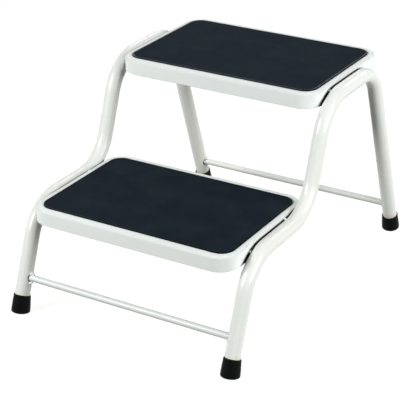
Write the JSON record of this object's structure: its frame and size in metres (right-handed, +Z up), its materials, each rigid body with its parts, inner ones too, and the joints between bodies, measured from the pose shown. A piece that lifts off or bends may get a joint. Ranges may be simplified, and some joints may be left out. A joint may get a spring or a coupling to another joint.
{
  "type": "medical step stool",
  "caption": "Low step stool for clinics: bent tube side frames, sheet treads with non-slip rubber mats, crossbars between the legs and rubber ferrules.",
  "frame": {"origin": "on the floor, in the middle of the stool's width and depth", "axes": "+X across the width, to the right of someone who faces the lower step; +Y from the lower step towards the upper step; +Z up"},
  "size_m": [0.434, 0.6292, 0.3632],
  "materials": {
    "coated_tube": "glossy white powder coat on steel tube",
    "coated_sheet": "glossy white powder coat on pressed steel sheet",
    "coated_weld": "glossy white powder coat over weld metal",
    "tread_rubber": "matt black rubber with a fine grain",
    "ferrule_rubber": "black moulded rubber"
  },
  "bodies": {
    "root": {"left_side_frame": "coated_tube", "right_side_frame": "coated_tube", "lower_tread_pan": "coated_sheet", "lower_tread_mat": "tread_rubber", "upper_tread_pan": "coated_sheet", "upper_tread_mat": "tread_rubber", "lower_left_front_tack_weld": "coated_weld", "lower_left_rear_tack_weld": "coated_weld", "lower_right_front_tack_weld": "coated_weld", "lower_right_rear_tack_weld": "coated_weld", "upper_left_front_tack_weld": "coated_weld", "upper_left_rear_tack_weld": "coated_weld", "upper_right_front_tack_weld": "coated_weld", "upper_right_rear_tack_weld": "coated_weld", "front_crossbar": "coated_tube", "rear_crossbar": "coated_tube", "front_left_crossbar_upper_weld": "coated_weld", "front_left_crossbar_lower_weld": "coated_weld", "front_right_crossbar_upper_weld": "coated_weld", "front_right_crossbar_lower_weld": "coated_weld", "rear_left_crossbar_upper_weld": "coated_weld", "rear_left_crossbar_lower_weld": "coated_weld", "rear_right_crossbar_upper_weld": "coated_weld", "rear_right_crossbar_lower_weld": "coated_weld", "front_left_ferrule": "ferrule_rubber", "front_right_ferrule": "ferrule_rubber", "rear_left_ferrule": "ferrule_rubber", "rear_right_ferrule": "ferrule_rubber"}
  },
  "joints": []
}
